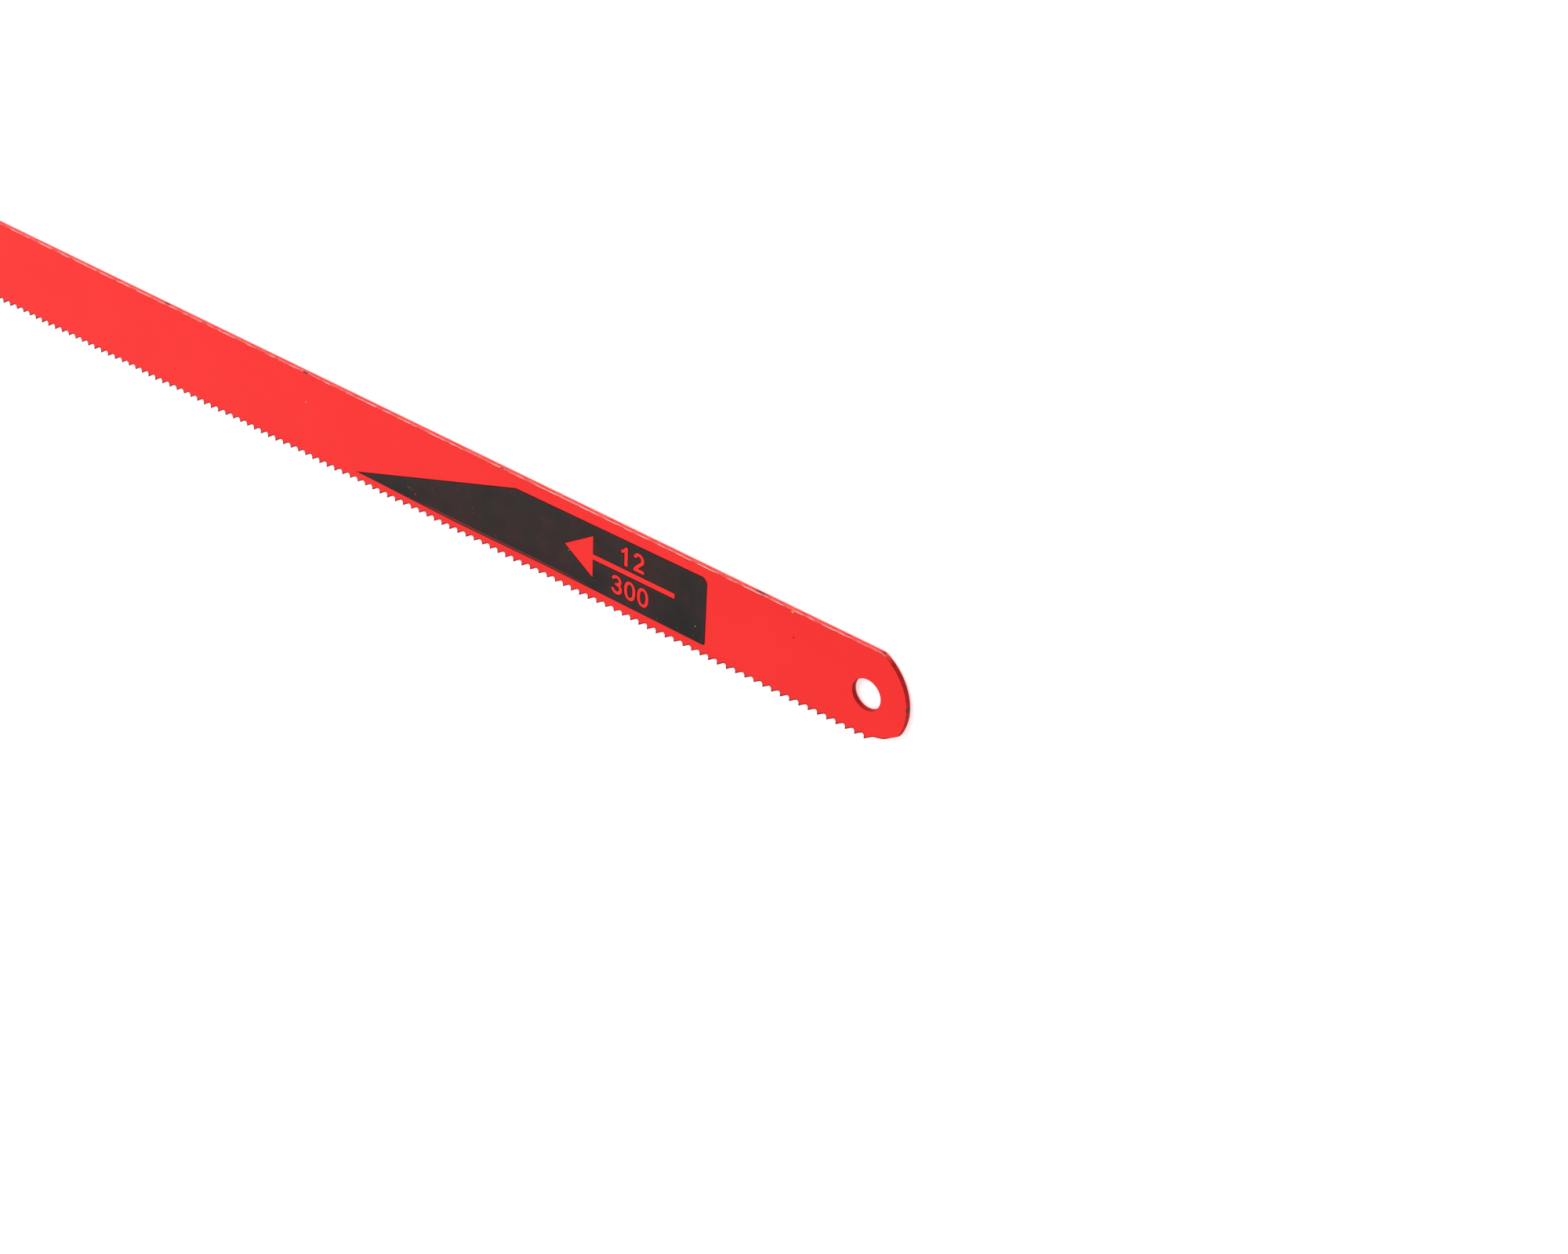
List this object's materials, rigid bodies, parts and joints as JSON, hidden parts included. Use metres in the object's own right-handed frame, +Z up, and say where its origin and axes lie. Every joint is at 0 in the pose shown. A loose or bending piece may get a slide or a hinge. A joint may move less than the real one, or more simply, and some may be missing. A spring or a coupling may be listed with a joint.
{
  "type": "hacksaw blade",
  "caption": "Hand hacksaw blade: a thin red-painted steel strip with rounded ends, pin holes and a fine wavy-set toothed edge.",
  "frame": {"origin": "middle of the blade's length and width, at the lowest point of its set teeth, which is what it lies on", "axes": "+X along the blade towards its handle end, with the teeth pointing towards -X; +Y from the toothed edge to the back edge; +Z up, out of the printed face"},
  "size_m": [0.3118, 0.0126, 0.0009],
  "materials": {
    "blade": "satin red enamel over steel, worn along the edges"
  },
  "bodies": {
    "root": {"blade": "blade"}
  },
  "joints": []
}
